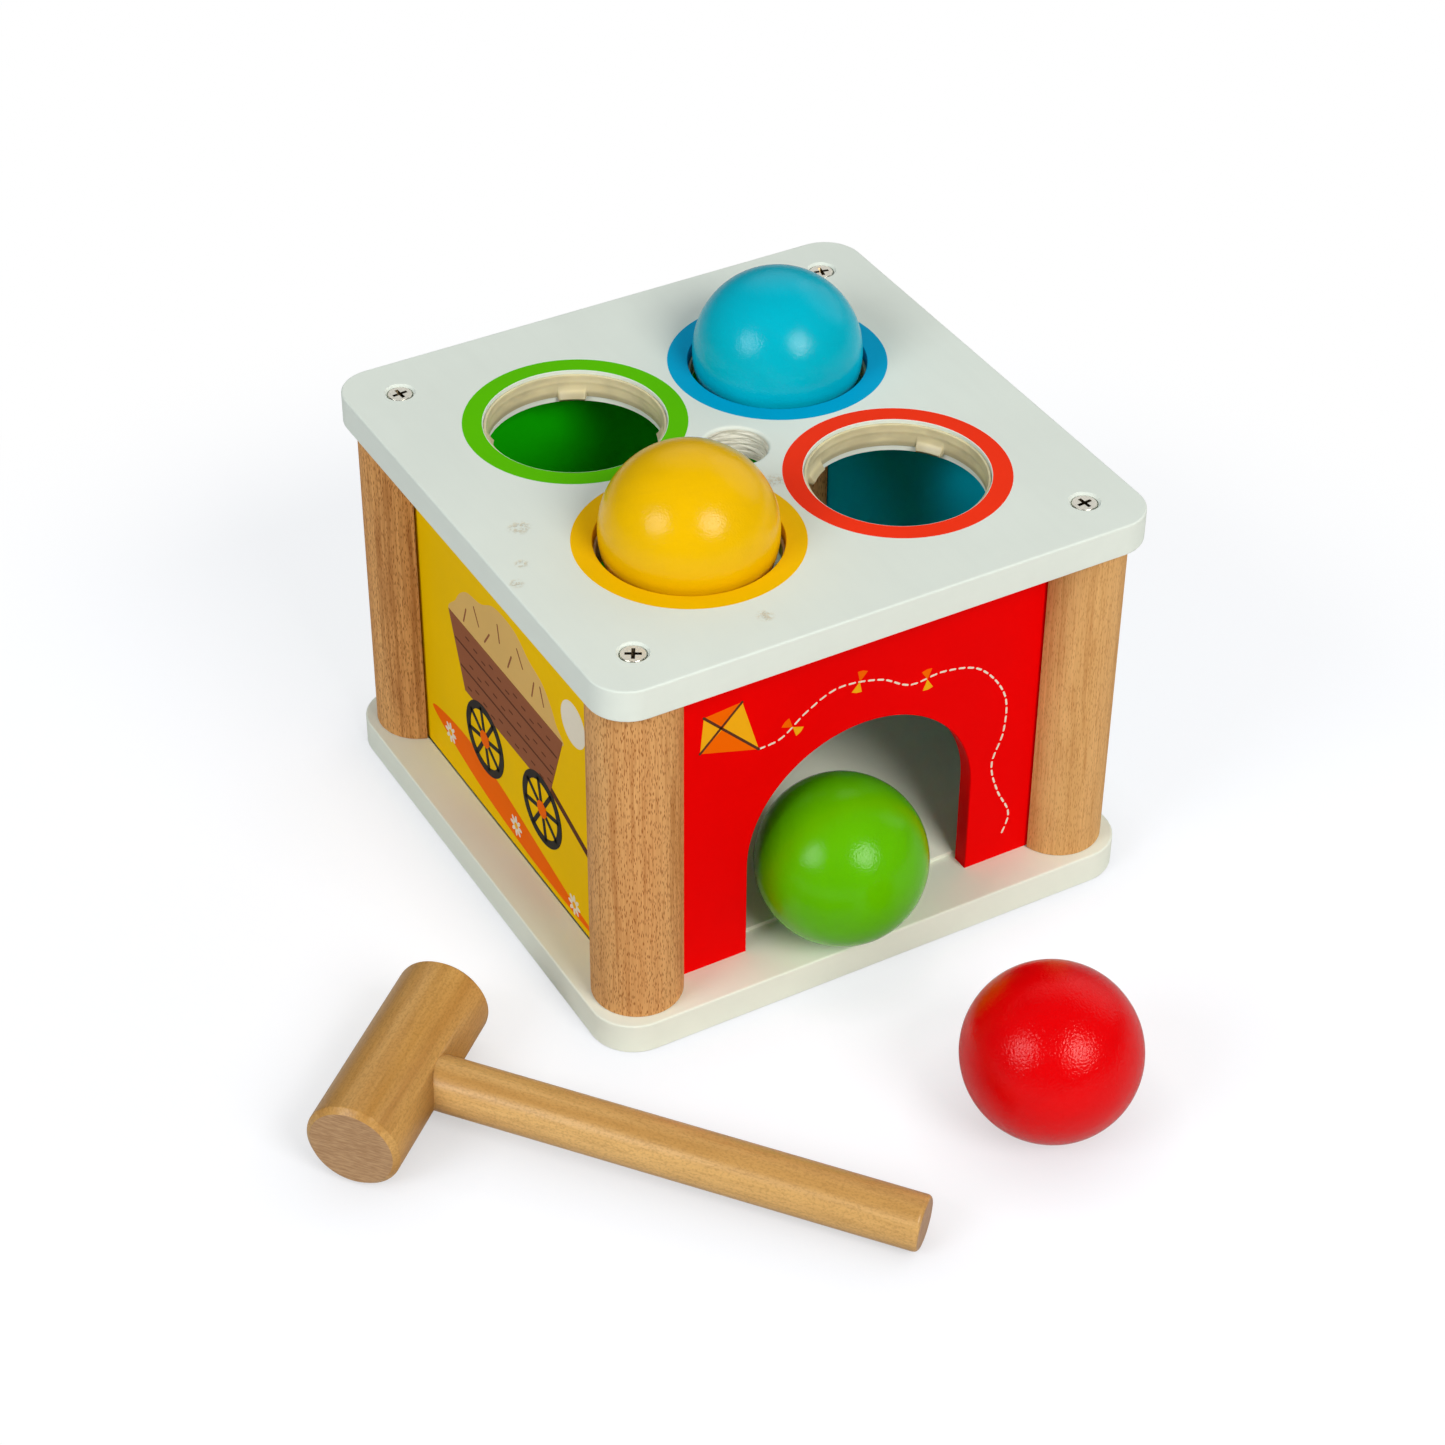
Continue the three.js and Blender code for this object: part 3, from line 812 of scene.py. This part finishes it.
def panels():
    for node, (colour, heading) in PANELS.items():
        if node == "front_panel":
            outline = arch(PANEL_WIDTH, PANEL_HEIGHT, ARCH_WIDTH, ARCH_HEIGHT)
            middle = 0.0
        else:
            outline = rectangle(PANEL_WIDTH, PANEL_HEIGHT)
            middle = PANEL_HEIGHT / 2
        shell = Shell()
        shell.prism(outline, 0.0, PANEL_THICKNESS, PANEL_EDGE, steps=3)
        place = panel_place(heading) @ Matrix.Translation((0, middle, 0))
        made = shell.piece(f"{colour}_side_panel", place)
        settle(made, f"{colour}_paint", [PANEL_PAINTS[colour]], node)


# Printed pictures
def oval(x, y, across, tall, sides=36):
    turns = (FULL_TURN * index / sides for index in range(sides))
    return [Vector((x + across * cos(turn), y + tall * sin(turn))) for turn in turns]


def capsule(start, end, width, steps):
    """The outline of a short line with round ends."""
    heading = atan2(*(end - start).yx)
    points = []
    for middle, turned in ((end, -RIGHT_ANGLE), (start, RIGHT_ANGLE)):
        for step in range(steps + 1):
            angle = heading + turned + pi * step / steps
            points.append(middle + ray(angle) * width / 2)
    return points


def curve(corners, closed=False):
    """A smooth run of points through the corners."""
    count = len(corners)
    last = count - 1

    def corner(index):
        return Vector(corners[index % count if closed else min(max(index, 0), last)])
    points = []
    for index in range(count if closed else last):
        a, b, c, d = (corner(index + shift) for shift in (-1, 0, 1, 2))
        for step in range(CURVE_STEPS):
            t = step / CURVE_STEPS
            bend = (2 * a - 5 * b + 4 * c - d) * t ** 2 + (3 * b - a - 3 * c + d) * t ** 3
            points.append(b + ((c - a) * t + bend) / 2)
    return points if closed else [*points, corner(last)]


def dashes(points, dash, gap):
    """The two ends of each dash along a run of points."""
    travelled = [0.0]
    for before, after in zip(points, points[1:]):
        travelled.append(travelled[-1] + (after - before).length)

    def spot(distance):
        return Vector([np.interp(distance, travelled, values) for values in zip(*points)])
    start = 0.0
    while start + dash < travelled[-1]:
        yield spot(start), spot(start + dash)
        start += dash + gap


class Picture:
    """Flat printed motifs on a panel's outer face, in millimetres along it and up it.
    Each layer of ink is a hair thicker than the one below it."""

    def __init__(self, node, inks):
        self.place = panel_place(PANELS[node][1])
        self.inks = inks
        self.shell = Shell()

    def stamp(self, ink, layer, points, inner=()):
        heights = (PANEL_THICKNESS - PRINT_SINK, PANEL_THICKNESS + PRINT_LIFT * layer)
        finish = self.inks.index(ink)
        walls = []
        for ring in (points, *inner):
            back, front = (self.shell.loop([(x * MM, y * MM, z) for x, y in ring]) for z in heights)
            self.shell.bridge(back, front, finish)
            walls.append((back, front))
        for side in (0, 1):
            self.shell.fill(walls[0][side], [wall[side] for wall in walls[1:]], finish)

    def line(self, ink, layer, start, end, width, steps=6):
        self.stamp(ink, layer, capsule(Vector(start), Vector(end), width, steps))

    def piece(self, name, slot):
        made = self.shell.piece(name, self.place)
        made.modifiers.clear()
        settle(made, slot, [PICTURE_INKS[ink] for ink in self.inks])


def kite_picture():
    """A small kite beside the arch's top, with a dashed string round to the other side."""
    picture = Picture("front_panel", ("gold", "orange", "umber", "milk"))
    nose, tail = Vector((-46.0, 81.0)), Vector((-30.5, 65.5))
    left, right = Vector((-47.0, 70.4)), Vector((-35.4, 82.0))
    middle = nose.lerp(tail, 0.34)
    picture.stamp("gold", 1, [nose, left, middle])
    picture.stamp("orange", 1, [nose, middle, right])
    picture.stamp("orange", 1, [left, tail, middle])
    picture.stamp("gold", 1, [middle, tail, right])
    picture.line("umber", 2, nose, tail, 0.7)
    picture.line("umber", 2, left, right, 0.7)
    string = curve([
        (-30.5, 65.5), (-24, 66.5), (-17, 72), (-8, 76), (4, 74), (13, 69), (23, 69.5), (34, 66),
        (42, 55), (42.5, 43), (39.5, 33), (42, 23), (46, 14), (43.5, 6),
    ])
    for start, end in dashes(string, 1.6, 1.25):
        picture.line("milk", 1, start, end, 0.55)
    for x, y, tilt in ((-21, 68.7, 45), (-2, 75.6, -15), (18, 68.8, 5)):
        turn = Matrix.Rotation(radians(tilt + 90), 2)
        for side, ink in ((-1, "gold"), (1, "orange")):
            wing = [(0, 0), (3.0 * side, 1.5), (3.3 * side, 0), (3.0 * side, -1.5)]
            picture.stamp(ink, 2, [Vector((x, y)) + turn @ Vector(spot) for spot in wing])
    picture.piece("red_panel_print", "red_paint")


def cart_picture():
    """A hay cart on a low hill with small flowers, under a pale sun."""
    picture = Picture("left_panel", ("orange", "straw", "brown", "umber", "charcoal", "milk", "gold"))
    hill = [(-49, 14), (-30, 17.5), (-8, 15), (16, 9.5), (36, 5), (49, 3), (30, 2.2), (4, 3), (-24, 6.5)]
    picture.stamp("orange", 1, curve(hill, closed=True))
    picture.stamp("milk", 1, oval(36, 66, 6.5, 6.5, 48))
    hay = [
        (-31, 54), (-30, 62), (-24, 68), (-15, 70), (-7, 74), (4, 74), (12, 70), (20, 67),
        (26, 60), (26, 54),
    ]
    picture.stamp("straw", 1, curve(hay, closed=True))
    for x, y, lean in (
        (-25, 60, 20), (-18, 64, -30), (-12, 61, 35), (-5, 67, -10),
        (1, 62, 25), (7, 67, -35), (14, 62, 15), (19, 63, -20),
    ):
        turn = 2.6 * ray(radians(90 - lean))
        picture.line("brown", 2, Vector((x, y)) - turn, Vector((x, y)) + turn, 0.6)
    picture.line("umber", 2, (18, 37), (47, 27), 2.2)
    picture.stamp("brown", 3, [(-27, 34), (22, 34), (30, 56), (-35, 56)])
    for level in (41.5, 48.8):
        reach = (level - 34) / 22 * 8
        picture.line("umber", 4, (-26 - reach, level), (21 + reach, level), 0.6)
    for row in range(3):
        for column in range(11):
            x = -25 + 4.6 * column + 1.7 * (row % 2)
            y = 36.4 + 7.3 * row + 1.9 * ((column * 5 + row) % 3) / 2
            picture.line("umber", 4, (x, y), (x + 2.0, y), 0.45, 3)
    for wheel in (Vector((-16, 25)), Vector((17, 25))):
        picture.stamp("charcoal", 5, oval(*wheel, 11, 11, 56), [oval(*wheel, 8.6, 8.6, 56)])
        for spoke in range(4):
            turn = Matrix.Rotation(radians(45 * spoke + 11), 2) @ Vector((9.2, 0))
            picture.line("charcoal", 5, wheel - turn, wheel + turn, 1.3)
        picture.stamp("orange", 6, oval(*wheel, 2.6, 2.6, 24))
    for flower in (Vector((-38, 12)), Vector((1, 7.6)), Vector((34, 5.2))):
        for petal in range(8):
            turn = Matrix.Rotation(FULL_TURN * petal / 8, 2)
            picture.stamp("milk", 2, [flower + turn @ spot for spot in oval(2.0, 0, 1.3, 0.6, 12)])
        picture.stamp("gold", 3, oval(*flower, 1.0, 1.0, 16))
    picture.piece("yellow_panel_print", "yellow_paint")


# Ramp and wedges
def eased_copy(node, name, finish, slot):
    """A CAD node's own shape with its edges eased."""
    made = add(name, frame["nodes"][node].data.copy())
    made.data.materials.clear()
    ease = made.modifiers.new("ease", "BEVEL")
    ease.width = RAMP_EDGE
    ease.segments = 3
    ease.limit_method = "ANGLE"
    even_normals(made)
    settle(made, slot, [finish], node)


def ramp():
    eased_copy("ramp", "ramp_board", WHITE, "white_paint")
    for side in ("left", "right"):
        eased_copy(f"ramp_wedge_{side}", f"wedge_{side}", WEDGE_BEECH, "beech")


# Soft rings
def tab_turns():
    """The angle of each section in a quarter ring, from its tab's middle, and the tab's share in it."""
    half_tab = TAB_WIDTH / 2 / TAB_TIP
    side = TAB_SIDE / TAB_TIP
    spans = ((0.0, half_tab, 8), (half_tab, half_tab + side, 4), (half_tab + side, RIGHT_ANGLE / 2, 22))
    aways = [start + (end - start) * step / count for start, end, count in spans for step in range(count)]
    for turn in [-away for away in (*aways[1:], RIGHT_ANGLE / 2)][::-1] + aways:
        share = min(1.0, max(0.0, (half_tab + side - abs(turn)) / side))
        yield turn, share * share * (3 - 2 * share)


def soft_ring(colour):
    """A thin ring with a faint bead round its wall, and four tabs that hang from it and slope in."""
    node = f"retainer_{colour}"
    low, high = box(node)
    outer = (high.x - low.x) / 2
    inner = outer - RING_WALL
    lean = TAB_TIP - inner
    top = high.z + RING_LIPS[colour]
    wall_top = top - RING_EDGE
    ledge = high.z - RING_HEIGHT
    wall_foot = ledge + RING_WALL_FOOT
    foot = low.z + RING_FOOT_GAP
    neck = NECK_RADIUS - RING_CLEARANCE
    sleeve = foot + SLEEVE_FOOT
    edge = [*quarter(RING_EDGE, 3)]
    rim = [(outer, ledge), (outer, wall_top)]
    rim += [(outer - inset, top - deep) for inset, deep in edge[-2::-1]]
    rim += [(inner + inset, top - deep) for inset, deep in edge[:-1]]
    plain_foot = [(inner, ledge), (inner, sleeve + SLEEVE_EDGE), (inner + SLEEVE_EDGE, sleeve)]
    plain_foot += [(neck, sleeve), (neck, ledge)]
    tab_foot = [(inner + TAB_SLOPE_SHARE * lean, ledge - TAB_ROOT_DROP), (TAB_TIP, foot + TAB_TIP_HEIGHT)]
    tab_foot += [(TAB_TIP + TAB_FOOT_DRAFT, foot), (neck, foot), (neck, ledge)]
    middle = centre_of(node).xy
    shell = Shell()
    rings = []
    steps = 12
    for tab in range(4):
        for turn, share in tab_turns():
            section = list(rim)
            for down in (step / steps for step in range(steps + 1)):
                bead = RING_BEAD * exp(-(((down - 0.42) / 0.1) ** 2))
                drawn = TAB_ROOT_SHARE * lean * down ** 6 * share
                section.append((inner - bead + drawn, wall_top + (wall_foot - wall_top) * down))
            for plain, tabbed in zip(plain_foot, tab_foot):
                section.append([a + (b - a) * share for a, b in zip(plain, tabbed)])
            angle = radians(TAB_TURNS[colour]) + RIGHT_ANGLE * tab + turn
            rings.append(shell.loop([(*(middle + radius * ray(angle)), z) for radius, z in section]))
    shell.skin([*rings, rings[0]])
    made = shell.piece(f"soft_ring_{colour}", sharp=radians(60))
    settle(made, "soft_plastic", [CREAM], node)


# Screws
def cross(length, width, z):
    """A plus-shaped loop."""
    a = length / 2
    b = width / 2
    half = [(a, -b), (a, b), (b, b), (b, a), (-b, a), (-b, b)]
    return [Vector((side * x, side * y, z)) for side in (1, -1) for x, y in half]


def screw(node, place, flip, cross_turn):
    """A countersunk cross-head screw: a tapering recess, a cone, and a threaded, pointed shank."""
    low, high = box(node)
    length = high.z - low.z
    head = SCREW_HEAD / 2
    shank = SCREW_SHANK / 2
    root = SCREW_ROOT_SHARE * shank
    sides = 24
    steps = 90
    profile = [(head - SCREW_HEAD_RIM, 0.0), (head, -SCREW_HEAD_RIM), (head, -SCREW_HEAD_LAND)]
    profile += [(shank, -SCREW_HEAD_DEPTH), (shank, -SCREW_THREAD_TOP)]
    shell = Shell()
    loops = [shell.loop(circle(radius, z, sides=sides)) for radius, z in profile]
    for step in range(1, steps):
        z = (SCREW_THREAD_TOP - length) * step / steps - SCREW_THREAD_TOP
        points = circle(min(1.0, (length + z) / SCREW_POINT), z, sides=sides)
        for index, point in enumerate(points):
            phase = (z / SCREW_PITCH - index / sides) % 1.0
            point.xy *= root + (shank - root) * max(0.0, 1 - abs(phase - 0.5) * SCREW_FLANK)
        loops.append(shell.loop(points))
    shell.skin(loops)
    shell.point(loops[-1], (0, 0, -length))
    recess = []
    for length_share, width_share, deep in ((1, 1, 0), (0.9, 0.9, 0.25), (0.45, 0.6, 1)):
        outline = cross(length_share * CROSS_LENGTH, width_share * CROSS_WIDTH, -deep * CROSS_DEPTH)
        recess.append(shell.loop(outline))
    # The recess takes the dark nickel, painted shade
    shell.skin(recess, 1)
    shell.fill(recess[-1], finish=1)
    shell.fill(loops[0], [recess[0]])
    turn = Matrix.Rotation(pi if flip else 0.0, 4, "X")
    turn @= Matrix.Rotation(radians(cross_turn), 4, "Z")
    made = shell.piece(f"{node}_fine", Matrix.Translation(place) @ turn)
    settle(made, "nickel", [NICKEL, RECESS_SHADE_NICKEL], node)


def screws():
    for corner, place in POST_PLACES.items():
        for board, face in (("top", TOP_HIGH.z - SCREW_SINK), ("base", BASE_LOW.z + SCREW_SINK)):
            screw(f"{board}_screw_{corner}", (*place, face), board == "base", CROSS_TURNS[corner])


# Balls
def ball(colour):
    """A turned ball whose grain stands in faint relief."""
    node = f"ball_{colour}"
    low, high = box(node)
    radius = (high.z - low.z) / 2
    bands = 72
    sides = 128
    shift = Vector((radius * BALL_GRAIN_SHIFT, 0, 0))

    def sunk(point):
        wave = noise.noise(point * BALL_GRAIN + shift)
        return point * (1 - BALL_RELIEF * (0.5 + 0.5 * wave) / radius)
    shell = Shell()
    loops = []
    for band in range(1, bands):
        angle = pi * band / bands
        points = circle(radius * sin(angle), radius * cos(angle), sides=sides)
        loops.append(shell.loop([sunk(point) for point in points]))
    shell.skin(loops)
    shell.point(loops[0], sunk(UP * radius))
    shell.point(loops[-1], sunk(-UP * radius))
    place = Matrix.Translation(centre_of(node))
    for axis, angle in zip("ZYX", BALL_TURNS[colour][::-1]):
        place @= Matrix.Rotation(radians(angle), 4, axis)
    lacquer = ball_lacquer(f"{colour}_lacquer", place, TONES[colour][1], BALL_PEELS[colour])
    made = shell.piece(f"pounding_{node}", place)
    settle(made, f"{colour}_lacquer", [lacquer], node, body=f"{colour}_ball")


# Mallet
def rod(radius, bottom, top, rim):
    """The profile of a rod whose two ends are drawn in by the (inset, depth) steps of a rim."""
    low = [(radius - inset, bottom + deep) for inset, deep in rim]
    return low + [(radius - inset, top - deep) for inset, deep in rim[::-1]]


def chamfer(size):
    """The steps of a rim cut at an angle, with soft corners."""
    soft = 0.25 * size
    turn = 0.3 * soft
    return [(size + soft, 0.0), (size - turn, turn), (turn, size - turn), (0.0, size + soft)]


def mallet():
    """The head, bored for the handle by a boolean cut, and the handle, placed as in the frame."""
    head_centre = centre_of("mallet_head")
    points = np.array([vertex.co for vertex in frame["nodes"]["mallet_handle"].data.vertices])
    middle = points.mean(axis=0)
    along = Vector(np.linalg.svd(points - middle)[2][0])
    if along.dot(Vector(middle) - head_centre) < 0:
        along.negate()
    across = UP.cross(along).normalized()
    reach = [(Vector(point) - head_centre).dot(along) for point in points]
    handle_place = Matrix.Translation(head_centre) @ along.to_track_quat("Z", "X").to_matrix().to_4x4()
    head_place = Matrix.Translation(head_centre) @ across.to_track_quat("Z", "Y").to_matrix().to_4x4()

    shell = Shell()
    half = MALLET_HEAD_LENGTH / 2
    shell.lathe(rod(MALLET_HEAD / 2, -half, half, chamfer(MALLET_CHAMFER)), 128)
    head = shell.piece("mallet_striking_head", head_place)
    drill = Shell()
    bore = HANDLE / 2 + SOCKET_CLEARANCE
    drill.lathe([(bore, min(reach) - SOCKET_FLOOR_GAP), (bore, MALLET_HEAD)], 96)
    bit = drill.piece("drill", handle_place)
    socket = head.modifiers.new("socket", "BOOLEAN")
    socket.object = bit
    socket.operation = "DIFFERENCE"
    socket.solver = "EXACT"
    head.modifiers.move(1, 0)
    bpy.context.view_layer.update()
    head.data = bpy.data.meshes.new_from_object(head.evaluated_get(bpy.context.evaluated_depsgraph_get()))
    head.modifiers.clear()
    bpy.data.objects.remove(bit)

    shell = Shell()
    shell.lathe(rod(HANDLE / 2, min(reach), max(reach) - HANDLE_SHORTENING, [*quarter(HANDLE_END)]), 96)
    handle = shell.piece("mallet_grip", handle_place)
    golden = lacquered_wood("golden_wood", handle_place, *GOLDEN_TONES)
    brown = lacquered_wood("brown_wood", head_place, *BROWN_TONES)
    settle(head, "clear_lacquer", [brown], "mallet_head", body="mallet")
    settle(handle, "clear_lacquer", [golden], "mallet_handle", body="mallet")


# Lights, floor and camera
def lights():
    """Round area lamps that point at the bench."""
    for name, (direction, width, power, colour) in LAMPS.items():
        data = bpy.data.lights.new(name, "AREA")
        data.shape = "DISK"
        data.size = width
        data.energy = power
        data.color = colour
        away = Vector(direction).normalized()
        made = add(name, data)
        made.location = LAMP_TARGET + away * LAMP_DISTANCE
        made.rotation_euler = (-away).to_track_quat("-Z", "Y").to_euler()


def world():
    """Even light, plain white where the camera sees it, with a soft bright patch for gloss to mirror."""
    made = bpy.data.worlds.new("studio")
    bpy.context.scene.world = made
    tree = Tree(made)
    tree.nodes.clear()
    direction = tree.node("TexCoord", {}, "Generated")
    towards = tree.vector("DOT_PRODUCT", direction, PATCH_DIRECTION)
    patch = tree.spread(towards, *PATCH_EDGES, *PATCH_STRENGTHS, "LINEAR")
    rays = tree.node("LightPath", {}, None)
    even = tree.node("Background", {"Color": STUDIO_COLOUR, "Strength": STUDIO_STRENGTH})
    mirrored = tree.node("Background", {"Color": PLAIN_WHITE, "Strength": patch})
    seen = tree.node("Background", {"Color": PLAIN_WHITE, "Strength": 1.0})
    lit = tree.blend(rays["Is Glossy Ray"], even, mirrored)
    tree.node("OutputWorld", {"Surface": tree.blend(rays["Is Camera Ray"], lit, seen)}, None)


def floor():
    """A white floor that keeps soft shadows near the bench, with painted contact shade where its glow is
    dimmed by occlusion, and fades to plain white away from it.
    """
    shell = Shell()
    shell.fill(shell.loop([(x * FLOOR_REACH, y * FLOOR_REACH, -FLOOR_DROP) for x, y in QUADRANTS]))
    made = shell.piece("floor")
    made.modifiers.clear()
    material = bpy.data.materials.new("floor_white")
    tree = Tree(material)
    tree.nodes.clear()
    bounce = tree.node("BsdfDiffuse", {"Color": FLOOR_BOUNCE})
    matt = tree.node("BsdfDiffuse", {"Color": FLOOR_SHADOW})
    # The glow is dimmed where occlusion is high: painted contact shade
    open_share = tree.node("AmbientOcclusion", {"Distance": FLOOR_CONTACT}, "AO", samples=16)
    shaded_lift = tree.node("Emission", {"Strength": tree.spread(open_share, 0.0, 1.0, *FLOOR_LIFTS, "LINEAR")})
    lit = tree.node("AddShader", {0: matt, 1: shaded_lift})
    away = tree.vector("DISTANCE", tree.node("TexCoord", {}, "Object"), FLOOR_MIDDLE)
    plain = tree.node("Emission", {"Strength": 1.0})
    near = tree.blend(tree.spread(away, *FLOOR_FADE), lit, plain)
    camera_ray = tree.node("LightPath", {}, "Is Camera Ray")
    tree.node("OutputMaterial", {"Surface": tree.blend(camera_ray, bounce, near)}, None)
    made.data.materials.append(material)


def camera():
    data = bpy.data.cameras.new("camera")
    data.sensor_width = SENSOR_WIDTH
    data.lens = CAMERA_LENS
    data.clip_start = CAMERA_NEAR
    heading = Vector((sin(CAMERA_HEADING), cos(CAMERA_HEADING), 0))
    forward = heading * cos(CAMERA_DIP) - UP * sin(CAMERA_DIP)
    level = forward.cross(UP).normalized()
    right = level * cos(CAMERA_ROLL) + level.cross(forward) * sin(CAMERA_ROLL)
    turn = Matrix((right, right.cross(forward), -forward)).transposed().to_4x4()
    made = add("camera", data)
    made.matrix_world = Matrix.Translation(CAMERA_PLACE) @ turn
    bpy.context.scene.camera = made


bpy.context.scene.view_settings.view_transform = "Standard"
camera()
lights()
world()
floor()
top_board()
base_board()
posts()
panels()
kite_picture()
cart_picture()
ramp()
for name in COLOURS:
    soft_ring(name)
    ball(name)
screws()
mallet()
